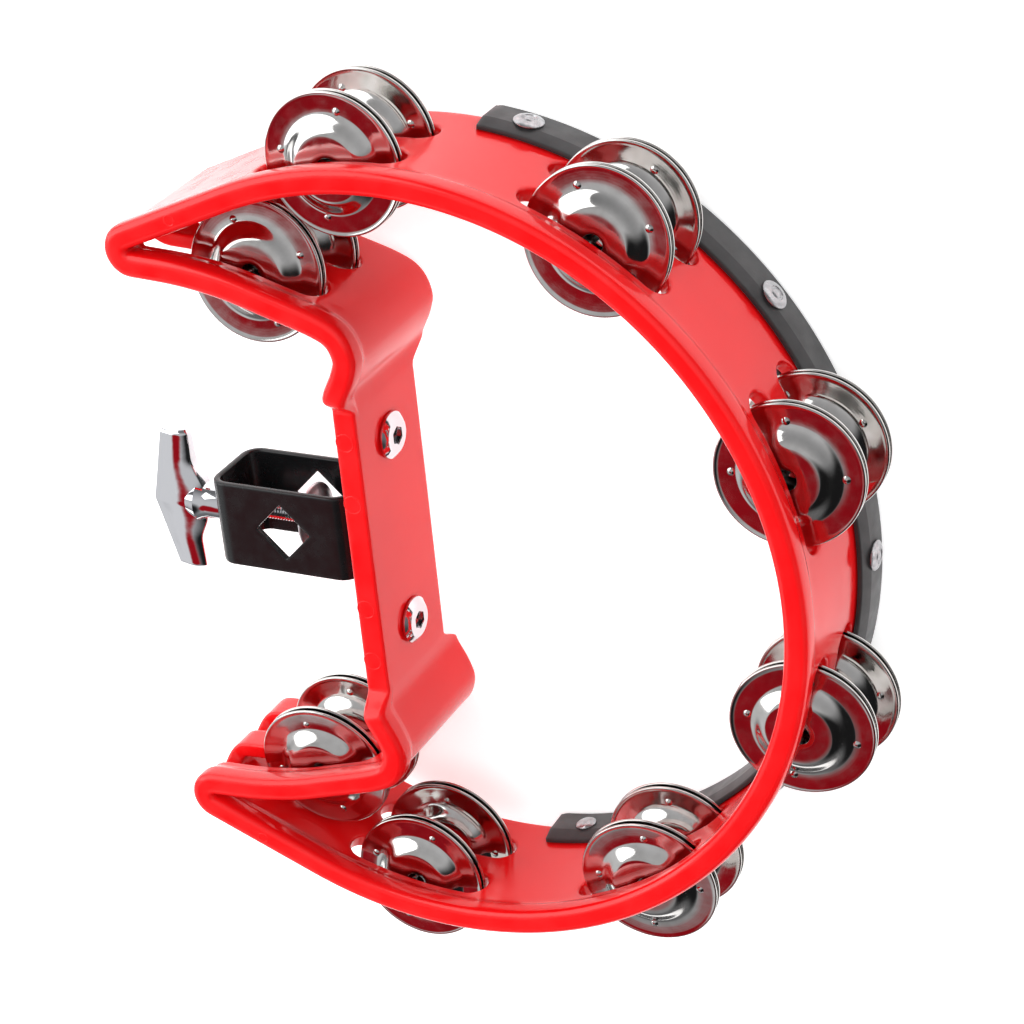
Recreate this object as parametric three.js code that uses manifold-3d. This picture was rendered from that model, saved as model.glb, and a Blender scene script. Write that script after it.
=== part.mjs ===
// Half-moon tambourine: a moulded D-shaped frame with two rows of jingles, a rubber strike strip
// riveted round the far edge, and a rod clamp bolted behind the grip.
// Millimetres, +Z along the ring's axis. The ring's centre is x = 0, y = 0 until the last step.
import * as THREE from 'three';
import { mergeVertices } from 'three/addons/utils/BufferGeometryUtils.js';
import Module from 'manifold-3d';

const wasm = await Module();
wasm.setup();

// ---- driving dimensions ----
const GAP = 0.3;                                   // air left between touching pieces

const RING_R = 125.75;                             // middle of the band on the outer arc
const WALL = 5;                                    // band thickness
const RIM_W = 8;                                   // width of the rounded rim bead
const FRAME_Z = [5, 60];                           // far edge and near rim of the frame
const RIM_H = 8.5;                                 // height of the rim bead
const ARC_END = 112;                               // degrees, where the arc runs straight into a horn
const HORN = { x: -83, y: 96.9, r: 4.7 };          // turn of the band at a horn's tip
const LIMB = [                                     // middle of the band from the grip to the horn
  [-18.2, 55], [-14.6, 62.5], [-13, 68.5], [-15.5, 75], [-22, 79],
  [-37, 83.8], [-52, 88.3], [-67, 91], [-83.4, 92.2],
];

const GRIP = { x: [-23.2, -15.3], half: 50, z: [13.5, 52.5] };
const GRIP_X = (GRIP.x[0] + GRIP.x[1]) / 2;

const ROW_Z = [21.5, 42.5];                        // middle of the far and near rows of slots
const SLOT_L = 50.5;
const SLOT_H = 11;
const ARC_SEATS = [19.5, 59.3, 98.6];              // degrees, jingle places on the outer arc
const LIMB_SEAT = { x: -50, y: 87.7, angle: 76.4 };
const JINGLE_R = 22.5;
const SHEET = 0.7;                                 // thickness of the stamped sheet
const DOME_H = 3.3;
const DOME_R = 16;
const CROWN_R = 10.8;                              // flat top of the dome
const JINGLE_HOLE_R = 3.2;
const PAIR_GAP = 1.6;                              // air between the two rims of a pair
const HANG = { shift: 1.3, lift: 0.25, lean: [3, 6] };   // a pair at rest on its pin; lean in degrees by row
const PIN_R = 1;
const PIN_Z = [FRAME_Z[0] + 1, FRAME_Z[1] - RIM_H - 1.5];

const STRIP_END = 83;                              // degrees either side of the ring's far point
const STRIP = { half: 5.75, lip: 4.2, toe: 4.6, web: FRAME_Z[0] - GAP, crease: 11.5, top: 15.6 };
const RIVET_AT = [-77, -38, 0, 38, 77];            // degrees
const RIVET_Z = 8.5;
const RIVET_R = 2;
const RIVET_HEAD = { r: 4.75, h: 1.5 };
const SPARE_HOLE_AT = -80;                         // degrees, an unused hole in the strip's inner lip

const CLAMP_Z = 33;                                // height of the bolt's axis
const BASE = { x: [GRIP.x[0] - GAP - 2.8, GRIP.x[0] - GAP], y: 42, z: 10.5 };
const STRAP = { x: [-76.2, BASE.x[0] - GAP], half: 13.5, t: 2.2, width: 29, bend: 6 };
const DIAMOND = { x: -50.5, half: 9.6 };
const BOLT_R = 3;
const BOLT_X = [-84, -45.6];
const WELD_NUT = { flats: 12, h: 5 };
const FOOT_R = 10.8;
const SCREW_Y = 32.5;
const SCREW_END = -33;
const SCREW_HEAD = { r: 7.5, h: 2.4, hex: 5 };
const NUT = { flats: 10, h: 5 };
const WING = { apex: -104.5, tip: [-99.3, -89.3], half: 24.8, root: -85.5, neck: 5.8, thin: 2.6, thick: 5.6 };

const rad = THREE.MathUtils.degToRad;

// ---- finishes ----
const finish = (color, roughness, metalness) => new THREE.MeshStandardMaterial({ color, roughness, metalness });
const RED_ABS = finish('#e8282b', 0.25, 0);
const BLACK_RUBBER = finish('#2b2a2b', 0.7, 0);
const BLACK_STEEL = finish('#141415', 0.3, 0.2);
const CHROME = finish('#d8d9dc', 0.1, 1);
const NICKEL = finish('#c9cacc', 0.15, 1);
const ZINC = finish('#b9babb', 0.35, 1);

// ---- solids ----
function solid(geometry) {
  const bare = geometry.clone();
  bare.deleteAttribute('normal');
  bare.deleteAttribute('uv');
  const merged = mergeVertices(bare, 1e-4);
  return new wasm.Manifold(new wasm.Mesh({
    numProp: 3,
    vertProperties: new Float32Array(merged.attributes.position.array),
    triVerts: new Uint32Array(merged.index.array),
  }));
}

function geometryOf(manifold) {
  const mesh = manifold.getMesh();
  const geometry = new THREE.BufferGeometry();
  geometry.setAttribute('position', new THREE.BufferAttribute(mesh.vertProperties.slice(), 3));
  geometry.setIndex(new THREE.BufferAttribute(mesh.triVerts.slice(), 1));
  return geometry;
}

function cut(base, ...tools) {
  return tools.reduce((left, tool) => left.subtract(solid(tool)), solid(base));
}

// A box given by its two corners.
function block(low, high) {
  const size = high.map((value, axis) => value - low[axis]);
  const middle = high.map((value, axis) => (value + low[axis]) / 2);
  return new THREE.BoxGeometry(...size).translate(...middle);
}

// A closed profile [radius, height] turned about +Z.
function turned(profile, segments) {
  const points = [...profile, profile[0]].map(([r, h]) => new THREE.Vector2(r, h));
  return new THREE.LatheGeometry(points, segments).rotateX(Math.PI / 2);
}

function rod(radius, z0, z1, segments = 12) {
  return new THREE.CylinderGeometry(radius, radius, z1 - z0, segments)
    .rotateX(Math.PI / 2).translate(0, 0, (z0 + z1) / 2);
}

// Turns a +Z shape so that its axis runs along +X at the bolt's height.
function alongX(geometry, y = 0) {
  return geometry.rotateY(Math.PI / 2).translate(0, y, CLAMP_Z);
}

function hexagon(flats) {
  const r = flats / Math.sqrt(3);
  const corners = [0, 1, 2, 3, 4, 5].map((i) => new THREE.Vector2(r * Math.cos(rad(60 * i)), r * Math.sin(rad(60 * i))));
  return new THREE.Shape(corners);
}

function hexNut(flats, height, holeR) {
  const shape = hexagon(flats);
  shape.holes.push(new THREE.Path().absarc(0, 0, holeR, 0, 2 * Math.PI, true));
  return new THREE.ExtrudeGeometry(shape, { depth: height, bevelEnabled: false, curveSegments: 12 });
}

// Moves a piece made with x along the band, y up and z out of the band to its place on the ring.
function outward(geometry, x, y, z, degrees) {
  const a = rad(degrees);
  const along = new THREE.Vector3(-Math.sin(a), Math.cos(a), 0);
  const up = new THREE.Vector3(0, 0, 1);
  const out = new THREE.Vector3(Math.cos(a), Math.sin(a), 0);
  const place = new THREE.Matrix4().makeBasis(along, up, out).setPosition(x, y, z);
  return geometry.applyMatrix4(place);
}

function onRing(geometry, radius, z, degrees) {
  return outward(geometry, radius * Math.cos(rad(degrees)), radius * Math.sin(rad(degrees)), z, degrees);
}

// Sweeps a section [out, height] along stations {x, y, nx, ny}; an open sweep gets end caps.
function sweep(section, stations, closed) {
  const count = section.length;
  const positions = stations.flatMap(({ x, y, nx, ny }) => section.flatMap(([n, z]) => [x + n * nx, y + n * ny, z]));
  const index = [];
  const spans = closed ? stations.length : stations.length - 1;
  for (let i = 0; i < spans; i += 1) {
    const here = i * count;
    const next = ((i + 1) % stations.length) * count;
    for (let k = 0; k < count; k += 1) {
      const l = (k + 1) % count;
      index.push(here + k, next + k, next + l, here + k, next + l, here + l);
    }
  }
  if (!closed) {
    const outline = section.map(([n, z]) => new THREE.Vector2(n, z));
    const last = (stations.length - 1) * count;
    THREE.ShapeUtils.triangulateShape(outline, []).forEach(([a, b, c]) => {
      index.push(a, b, c, last + a, last + c, last + b);
    });
  }
  const geometry = new THREE.BufferGeometry();
  geometry.setAttribute('position', new THREE.Float32BufferAttribute(positions, 3));
  geometry.setIndex(index);
  return geometry;
}

// ---- frame ----
// Middle line of the band, from the middle of the grip round the upper half to the ring's far point.
function upperMiddleLine() {
  const path = new THREE.Path();
  path.moveTo(GRIP_X, 0);
  path.lineTo(GRIP_X, GRIP.half - 3);
  path.splineThru(LIMB.map(([x, y]) => new THREE.Vector2(x, y)));
  path.absarc(HORN.x, HORN.y, HORN.r, rad(-95), rad(ARC_END), true);
  path.absarc(0, 0, RING_R, rad(ARC_END), 0, true);
  const steps = { LineCurve: 1, SplineCurve: 15, EllipseCurve: 6 };
  return path.curves.flatMap((curve, i) => {
    const isRing = i === path.curves.length - 1;
    return curve.getPoints(isRing ? 22 : steps[curve.type]).slice(1);
  });
}

function frameStations() {
  const upper = upperMiddleLine();
  const lower = upper.slice(0, -1).reverse().map((p) => new THREE.Vector2(p.x, -p.y));
  const loop = [...upper, ...lower].reverse();
  const line = loop.filter((p, i) => p.distanceTo(loop[(i + 1) % loop.length]) > 0.2);
  return line.map((p, i) => {
    const ahead = line[(i + 1) % line.length];
    const behind = line[(i + line.length - 1) % line.length];
    const t = ahead.clone().sub(behind).normalize();
    return { x: p.x, y: p.y, nx: t.y, ny: -t.x };
  });
}

function frameSection() {
  const w = WALL / 2;
  const b = RIM_W / 2;
  const [low, high] = FRAME_Z;
  const bead = high - RIM_H;
  return [
    [-w, low], [w, low], [w, bead], [b, bead + 2.5], [b, high - 2.5], [w, high],
    [-w, high], [-b, high - 2.5], [-b, bead + 2.5], [-w, bead],
  ];
}

function stadium(length, height, depth) {
  const r = height / 2;
  const shape = new THREE.Shape();
  shape.absarc(length / 2 - r, 0, r, -Math.PI / 2, Math.PI / 2, false);
  shape.absarc(r - length / 2, 0, r, Math.PI / 2, 1.5 * Math.PI, false);
  return new THREE.ExtrudeGeometry(shape, { depth, bevelEnabled: false, curveSegments: 4 }).translate(0, 0, -depth / 2);
}

// The eight places where a pin carries two pairs of jingles.
const seats = [1, -1].flatMap((side) => [
  ...ARC_SEATS.map((angle) => ({
    x: RING_R * Math.cos(rad(angle)),
    y: side * RING_R * Math.sin(rad(angle)),
    angle: side * angle,
  })),
  { x: LIMB_SEAT.x, y: side * LIMB_SEAT.y, angle: side * LIMB_SEAT.angle },
]);

function frame() {
  const holeR = PIN_R + 0.4;
  const slots = seats.flatMap(({ x, y, angle }) => ROW_Z.map((z) => outward(stadium(SLOT_L, SLOT_H, 16), x, y, z, angle)));
  const hornNotches = [1, -1].flatMap((side) => ROW_Z.map((z) => {
    const y = [side * 80, side * 95.4].sort((a, b) => a - b);
    return block([-100, y[0], z - SLOT_H / 2], [-70, y[1], z + SLOT_H / 2]);
  }));
  const pinHoles = seats.map(({ x, y }) => rod(holeR, FRAME_Z[0] - 1, PIN_Z[1] + GAP, 8).translate(x, y, 0));
  const rivetHoles = RIVET_AT.map((a) => onRing(rod(RIVET_R + 0.35, -5, 5), RING_R, RIVET_Z, a));
  const screwHoles = [1, -1].map((side) => alongX(rod(BOLT_R + 0.4, -30, -10), side * SCREW_Y));
  const recess = [
    block([-40, -GRIP.half, -10], [-5, GRIP.half, GRIP.z[0]]),
    block([-40, -GRIP.half, GRIP.z[1]], [-5, GRIP.half, 80]),
  ];
  const band = cut(sweep(frameSection(), frameStations(), true), ...recess);
  const plate = block([GRIP.x[0], -GRIP.half, GRIP.z[0]], [GRIP.x[1], GRIP.half, GRIP.z[1]]);
  const tools = [...slots, ...hornNotches, ...pinHoles, ...rivetHoles, ...screwHoles];
  return geometryOf(tools.reduce((left, tool) => left.subtract(solid(tool)), band.add(solid(plate))));
}

// ---- strike strip and rivets ----
function strikeStrip() {
  const { half, lip, toe, web, crease, top } = STRIP;
  const inside = WALL / 2 + GAP;
  const section = [
    [-toe, 0], [toe, 0], [half, 1.4], [half, crease], [lip, top], [inside, top],
    [inside, web], [-inside, web], [-inside, top], [-lip, top], [-half, crease], [-half, 1.4],
  ];
  const steps = 26;
  const stations = Array.from({ length: steps + 1 }, (_, i) => {
    const a = rad(-STRIP_END + (2 * STRIP_END * i) / steps);
    return { x: RING_R * Math.cos(a), y: RING_R * Math.sin(a), nx: Math.cos(a), ny: Math.sin(a) };
  });
  const rivetHoles = RIVET_AT.map((a) => onRing(rod(RIVET_R + 0.35, -12, 12), RING_R, RIVET_Z, a));
  const spareHole = onRing(rod(RIVET_R, -8, 0), RING_R, RIVET_Z, SPARE_HOLE_AT);
  return geometryOf(cut(sweep(section, stations, false), ...rivetHoles, spareHole));
}

function rivet(angle) {
  const reach = STRIP.half + GAP;
  const { r, h } = RIVET_HEAD;
  const profile = [
    [0, -reach - h], [r * 0.6, -reach - h], [r * 0.85, -reach], [RIVET_R, -reach],
    [RIVET_R, reach], [r, reach], [r, reach + h * 0.5], [r * 0.7, reach + h], [0, reach + h],
  ];
  const points = profile.map(([x, y]) => new THREE.Vector2(x, y));
  const body = new THREE.LatheGeometry(points, 12).rotateX(Math.PI / 2);
  return onRing(body, RING_R, RIVET_Z, angle);
}

// ---- jingles ----
// A stamped disc, rim down and dome up, its rim on z = 0.
function jingle() {
  return turned([
    [JINGLE_R, 0], [JINGLE_R, SHEET], [DOME_R - 0.4, SHEET], [CROWN_R - 0.3, DOME_H + SHEET],
    [JINGLE_HOLE_R, DOME_H + SHEET], [JINGLE_HOLE_R, DOME_H], [CROWN_R, DOME_H], [DOME_R, 0],
  ], 16);
}

// Sets a jingle above (side 1) or upside down below (side -1) the middle of its pair.
function placeJingle(mesh, middle, lean, heading, side) {
  const up = new THREE.Vector3(0, 0, 1);
  const out = new THREE.Vector3(Math.cos(heading), Math.sin(heading), 0);
  const axis = up.clone().multiplyScalar(Math.cos(lean)).addScaledVector(out, Math.sin(lean));
  mesh.position.copy(middle).addScaledVector(axis, (side * PAIR_GAP) / 2);
  mesh.quaternion.setFromUnitVectors(up, axis);
  if (side < 0) {
    mesh.rotateX(Math.PI);
  }
}

// ---- rod clamp ----
function basePlate() {
  const plate = block([BASE.x[0], -BASE.y, CLAMP_Z - BASE.z], [BASE.x[1], BASE.y, CLAMP_Z + BASE.z]);
  const holes = [1, -1].map((side) => alongX(rod(BOLT_R + 0.4, -40, -10), side * SCREW_Y));
  return geometryOf(cut(plate, ...holes));
}

// Rectangle with rounded corners about (cx, 0).
function roundedLoop(path, cx, halfX, halfY, r) {
  path.absarc(cx + halfX - r, halfY - r, r, 0, Math.PI / 2, false);
  path.absarc(cx - halfX + r, halfY - r, r, Math.PI / 2, Math.PI, false);
  path.absarc(cx - halfX + r, -halfY + r, r, Math.PI, 1.5 * Math.PI, false);
  path.absarc(cx + halfX - r, -halfY + r, r, 1.5 * Math.PI, 2 * Math.PI, false);
  path.closePath();
  return path;
}

function strapBracket() {
  const { x, half, t, width, bend } = STRAP;
  const cx = (x[0] + x[1]) / 2;
  const halfX = (x[1] - x[0]) / 2;
  const shape = roundedLoop(new THREE.Shape(), cx, halfX, half, bend);
  shape.holes.push(roundedLoop(new THREE.Path(), cx, halfX - t, half - t, bend - t));
  const strap = new THREE.ExtrudeGeometry(shape, { depth: width, bevelEnabled: false, curveSegments: 4 })
    .rotateX(Math.PI / 2).translate(0, width / 2, CLAMP_Z);
  const corners = [[1, 0], [0, 1], [-1, 0], [0, -1]]
    .map(([dx, dy]) => new THREE.Vector2(DIAMOND.x + dx * DIAMOND.half, dy * DIAMOND.half));
  const diamond = new THREE.ExtrudeGeometry(new THREE.Shape(corners), { depth: 60, bevelEnabled: false });
  const boltHole = alongX(rod(BOLT_R + 0.4, x[0] - 5, x[0] + 8));
  return geometryOf(cut(strap, diamond.translate(0, 0, CLAMP_Z - 30), boltHole));
}

function weldNut() {
  const start = STRAP.x[0] + STRAP.t + GAP;
  return alongX(hexNut(WELD_NUT.flats, WELD_NUT.h, BOLT_R + 0.4).translate(0, 0, start));
}

function gripNut(side) {
  const start = BASE.x[0] - GAP - NUT.h;
  return alongX(hexNut(NUT.flats, NUT.h, BOLT_R + 0.4).translate(0, 0, start), side * SCREW_Y);
}

function socketScrew(side) {
  const under = GRIP.x[1] + GAP;
  const { r, h, hex } = SCREW_HEAD;
  const profile = [[0, SCREW_END], [BOLT_R, SCREW_END], [BOLT_R, under], [r, under], [r, under + 1], [r - 2, under + h], [0, under + h]];
  const body = new THREE.LatheGeometry(profile.map(([x, y]) => new THREE.Vector2(x, y)), 20).rotateX(Math.PI / 2);
  const socket = new THREE.ExtrudeGeometry(hexagon(hex), { depth: 5, bevelEnabled: false }).translate(0, 0, under + h - 2);
  return alongX(geometryOf(cut(body, socket)), side * SCREW_Y);
}

function wingHandle() {
  const { apex, tip, half, root, neck, thin, thick } = WING;
  const outline = new THREE.Shape();
  outline.moveTo(apex, 0);
  outline.lineTo(tip[0], -half);
  outline.lineTo(tip[1], -half);
  outline.quadraticCurveTo(tip[1] + 1, -half / 2, root, -neck);
  outline.lineTo(root, neck);
  outline.quadraticCurveTo(tip[1] + 1, half / 2, tip[1], half);
  outline.lineTo(tip[0], half);
  outline.closePath();
  const blade = new THREE.ExtrudeGeometry(outline, { depth: 4 * thick, bevelEnabled: false, curveSegments: 6 });
  blade.translate(0, 0, CLAMP_Z - 2 * thick);
  const waist = new THREE.Shape([
    [-half - 1, thin], [-half - 1, -thin], [0, -thick], [half + 1, -thin], [half + 1, thin], [0, thick],
  ].map(([y, z]) => new THREE.Vector2(y, z)));
  const taper = new THREE.ExtrudeGeometry(waist, { depth: 40, bevelEnabled: false });
  taper.applyMatrix4(new THREE.Matrix4().makeBasis(
    new THREE.Vector3(0, 1, 0),
    new THREE.Vector3(0, 0, 1),
    new THREE.Vector3(1, 0, 0),
  )).translate(apex - 2, 0, CLAMP_Z);
  const collar = alongX(rod(neck, root - 2, STRAP.x[0] - 2 * GAP, 16));
  const bore = alongX(rod(BOLT_R + GAP, BOLT_X[0] - GAP, STRAP.x[0] + 5, 12));
  const wings = solid(blade).intersect(solid(taper));
  return geometryOf(wings.add(solid(collar)).subtract(solid(bore)));
}

function pressureFoot() {
  const back = BOLT_X[1] - 4;
  const profile = [
    [BOLT_R + 0.4, back], [5.2, back], [5.2, back + 2.6], [FOOT_R, back + 3], [FOOT_R, back + 4.4],
    [FOOT_R * 0.8, back + 6.6], [FOOT_R * 0.4, back + 7.8], [0, back + 8.2], [0, BOLT_X[1] + GAP], [BOLT_R + 0.4, BOLT_X[1] + GAP],
  ];
  const points = [...profile, profile[0]].map(([x, y]) => new THREE.Vector2(x, y));
  return alongX(new THREE.LatheGeometry(points, 20).rotateX(Math.PI / 2));
}

// ---- assembly ----
const group = new THREE.Group();

function add(name, geometry, material) {
  const mesh = new THREE.Mesh(geometry, material);
  mesh.name = name;
  group.add(mesh);
  return mesh;
}

add('frame', frame(), RED_ABS);
add('strike_strip', strikeStrip(), BLACK_RUBBER);
RIVET_AT.forEach((angle, i) => add(`strip_rivet_${i + 1}`, rivet(angle), ZINC));

seats.forEach(({ x, y, angle }, i) => {
  add(`jingle_pin_${i + 1}`, rod(PIN_R, ...PIN_Z, 8), NICKEL).position.set(x, y, 0);
  ROW_Z.forEach((rowZ, row) => {
    const name = `jingle_${i + 1}_${['far', 'near'][row]}`;
    const floor = rowZ - SLOT_H / 2;
    const middle = new THREE.Vector3(x + HANG.shift, y, floor + GAP + HANG.lift + DOME_H + SHEET + PAIR_GAP / 2);
    const lean = rad(Math.abs(angle) < 90 ? HANG.lean[row] : 0);
    placeJingle(add(`${name}_lower`, jingle(), NICKEL), middle, lean, rad(angle), -1);
    placeJingle(add(`${name}_upper`, jingle(), NICKEL), middle, lean, rad(angle), 1);
  });
});

add('clamp_base_plate', basePlate(), BLACK_STEEL);
add('clamp_strap', strapBracket(), BLACK_STEEL);
add('clamp_weld_nut', weldNut(), BLACK_STEEL);
[1, -1].forEach((side, i) => {
  add(`grip_screw_${i + 1}`, socketScrew(side), CHROME);
  add(`grip_nut_${i + 1}`, gripNut(side), ZINC);
});
add('wing_handle', wingHandle(), CHROME);
add('clamp_bolt', alongX(rod(BOLT_R, ...BOLT_X, 16)), CHROME);
add('pressure_foot', pressureFoot(), CHROME);

// The origin goes to the middle of the underside of the whole part.
const bounds = new THREE.Box3().setFromObject(group, true);
const middle = bounds.getCenter(new THREE.Vector3());
group.position.set(-middle.x, -middle.y, -bounds.min.z);

export default group;
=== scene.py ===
"""Half-moon tambourine: the looks of a moulded frame with jingles, a strike strip and a rod clamp.

Sizes are in millimetres until a mesh is made. Lights, the camera and its aim are in metres. The ring's
centre, the jingles, the pins and the clamp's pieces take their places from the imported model.
"""

import bisect
import logging
import math
import random
from collections.abc import Callable, Sequence
from dataclasses import dataclass, field
from enum import Enum

import bmesh
import bpy
import numpy as np
from mathutils import Matrix, Vector
from mathutils.geometry import delaunay_2d_cdt

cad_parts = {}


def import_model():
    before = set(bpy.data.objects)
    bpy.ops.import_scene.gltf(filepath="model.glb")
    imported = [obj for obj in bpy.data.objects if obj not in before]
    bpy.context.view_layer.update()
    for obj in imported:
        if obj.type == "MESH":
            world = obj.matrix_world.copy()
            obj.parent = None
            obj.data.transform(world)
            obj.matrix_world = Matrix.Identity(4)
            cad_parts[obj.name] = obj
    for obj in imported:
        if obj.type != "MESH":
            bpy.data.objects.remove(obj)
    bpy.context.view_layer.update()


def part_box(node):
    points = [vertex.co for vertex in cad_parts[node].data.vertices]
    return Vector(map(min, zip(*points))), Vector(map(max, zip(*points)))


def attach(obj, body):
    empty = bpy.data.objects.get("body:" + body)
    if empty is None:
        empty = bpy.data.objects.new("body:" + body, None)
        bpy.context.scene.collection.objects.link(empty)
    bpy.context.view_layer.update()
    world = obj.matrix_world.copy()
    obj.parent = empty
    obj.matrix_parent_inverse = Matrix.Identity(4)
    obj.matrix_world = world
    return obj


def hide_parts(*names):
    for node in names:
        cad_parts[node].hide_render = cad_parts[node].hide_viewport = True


log = logging.getLogger("tambourine")

MM = 0.001
ROOT = "frame_assembly"
SIDES = (1, -1)
# The wave texture draws about 3.2 rings in one unit.
RINGS_PER_UNIT = 3.2

Point2 = tuple[float, float]
Section = list[Point2]


# ---------------------------------------------------------------- colour and nodes


def linear(colour: str) -> tuple[float, float, float, float]:
    """Turns an sRGB hex colour into linear light.

    Args:
        colour: Colour such as "#e8282b".

    Returns:
        Red, green, blue and alpha, each from 0 to 1.
    """
    parts = [int(colour[i : i + 2], 16) / 255 for i in (1, 3, 5)]
    bare = [c / 12.92 if c <= 0.04045 else ((c + 0.055) / 1.055) ** 2.4 for c in parts]
    return bare[0], bare[1], bare[2], 1.0


def add_node(
    tree: bpy.types.NodeTree, kind: str, settings: dict | None = None, **inputs: object
) -> bpy.types.Node:
    """Adds a node with its settings, values and links.

    Args:
        tree: Node tree that takes the node.
        kind: Blender's type name of the node.
        settings: Node properties to set first.
        **inputs: Socket name, with _ for a space, or i0, i1 for a place, to a value or an output socket.

    Returns:
        The new node.
    """
    node = tree.nodes.new(kind)
    for name, value in (settings or {}).items():
        setattr(node, name, value)
    for name, value in inputs.items():
        place = int(name[1:]) if name[0] == "i" and name[1:].isdigit() else name.replace("_", " ")
        if isinstance(value, bpy.types.NodeSocket):
            tree.links.new(value, node.inputs[place])
        else:
            node.inputs[place].default_value = value
    return node


def per_mm(size: float) -> float:
    """Texture scale in metres that gives features of a size in millimetres."""
    return 1000.0 / size


# ---------------------------------------------------------------- finishes


@dataclass(frozen=True)
class Finish:
    """What every finish has: a name, its slot in the record, a colour and a gloss."""

    name: str
    slot: str
    colour: str
    roughness: float

    def build(self) -> bpy.types.Material:
        """Makes the material with its shader and lets the finish dress it.

        Returns:
            The finished material.
        """
        material = bpy.data.materials.new(self.name)
        material.use_nodes = True
        tree = material.node_tree
        tree.nodes.clear()
        colour = linear(self.colour)
        shader = add_node(tree, "ShaderNodeBsdfPrincipled", None, Base_Color=colour, Roughness=self.roughness)
        add_node(tree, "ShaderNodeOutputMaterial", None, Surface=shader.outputs[0])
        self.dress(tree, shader)
        return material

    def dress(self, tree: bpy.types.NodeTree, shader: bpy.types.Node) -> None:
        """Adds what is special to one finish.

        Args:
            tree: Node tree of the material.
            shader: The material's shader.
        """
        raise NotImplementedError

    def speckle(self, tree: bpy.types.NodeTree, size: float, detail: float = 2.0) -> bpy.types.NodeSocket:
        """Adds a noise of a real size.

        Args:
            tree: Node tree of the material.
            size: Size of the features in millimetres.
            detail: How many finer layers it has.

        Returns:
            The noise's value, about 0.5 on average.
        """
        place = add_node(tree, "ShaderNodeTexCoord").outputs["Object"]
        noise = add_node(tree, "ShaderNodeTexNoise", None, Vector=place, Scale=per_mm(size), Detail=detail)
        return noise.outputs[0]

    def spread(
        self, tree: bpy.types.NodeTree, value: bpy.types.NodeSocket, low: float, high: float
    ) -> bpy.types.NodeSocket:
        """Maps a noise's usual span to a range.

        Args:
            tree: Node tree of the material.
            value: Noise value.
            low: Result where the noise is low.
            high: Result where the noise is high.

        Returns:
            The mapped value.
        """
        usual = {"From_Min": 0.3, "From_Max": 0.7}
        node = add_node(tree, "ShaderNodeMapRange", None, Value=value, **usual, To_Min=low, To_Max=high)
        return node.outputs[0]

    def tint(
        self, tree: bpy.types.NodeTree, shader: bpy.types.Node, amount: bpy.types.NodeSocket, other: str
    ) -> None:
        """Mixes a second colour into the finish's own.

        Args:
            tree: Node tree of the material.
            shader: The material's shader.
            amount: How much of the second colour shows, from 0 to 1.
            other: The second colour.
        """
        own, second = linear(self.colour), linear(other)
        colour = add_node(tree, "ShaderNodeMix", {"data_type": "RGBA"}, Factor=amount, i6=own, i7=second)
        tree.links.new(colour.outputs[2], shader.inputs["Base Color"])

    def uneven_gloss(
        self, tree: bpy.types.NodeTree, shader: bpy.types.Node,
        size: float, detail: float, below: float, above: float,
    ) -> None:
        """Lets the roughness wander about the finish's own.

        Args:
            tree: Node tree of the material.
            shader: The material's shader.
            size: Size of the patches in millimetres.
            detail: How many finer layers they have.
            below: How far the roughness falls.
            above: How far it rises.
        """
        patches = self.speckle(tree, size, detail)
        value = self.spread(tree, patches, self.roughness - below, self.roughness + above)
        tree.links.new(value, shader.inputs["Roughness"])

    def relief(
        self, tree: bpy.types.NodeTree, shader: bpy.types.Node,
        layers: Sequence[tuple[bpy.types.NodeSocket, float]],
    ) -> None:
        """Stacks bumps of a real height on the shader.

        Args:
            tree: Node tree of the material.
            shader: The material's shader.
            layers: Height values from 0 to 1, each with its depth in millimetres.
        """
        normal = None
        for value, depth in layers:
            bump = add_node(tree, "ShaderNodeBump", None, Height=value, Strength=1.0, Distance=depth * MM)
            if normal is not None:
                tree.links.new(normal, bump.inputs["Normal"])
            normal = bump.outputs[0]
        tree.links.new(normal, shader.inputs["Normal"])


@dataclass(frozen=True)
class MouldedAbs(Finish):
    """Injection-moulded ABS from a polished mould: a clean gloss over slow waves."""

    shade: str = "#de0d12"

    def dress(self, tree: bpy.types.NodeTree, shader: bpy.types.Node) -> None:
        """Adds flow marks in the colour, an uneven polish, mould waves and a fine grain."""
        # Pigment flow fronts some 45 mm long leave a hardly visible change of red.
        flow = self.spread(tree, self.speckle(tree, 45.0), 0.0, 1.0)
        self.tint(tree, shader, flow, self.shade)
        # The polish varies over about 9 mm, so highlights break up a little.
        self.uneven_gloss(tree, shader, 9.0, 4.0, 0.05, 0.09)
        # ABS has an IOR of about 1.53. Its specular level is below the usual 0.5, which keeps the red deep.
        shader.inputs["IOR"].default_value = 1.53
        shader.inputs["Specular IOR Level"].default_value = 0.36
        # Shrinkage waves some 14 mm across, and a mould grain of 0.9 mm, drawn coarse enough to show.
        waves = self.speckle(tree, 14.0)
        grain = self.speckle(tree, 0.9)
        self.relief(tree, shader, [(waves, 0.05), (grain, 0.006)])


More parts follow.
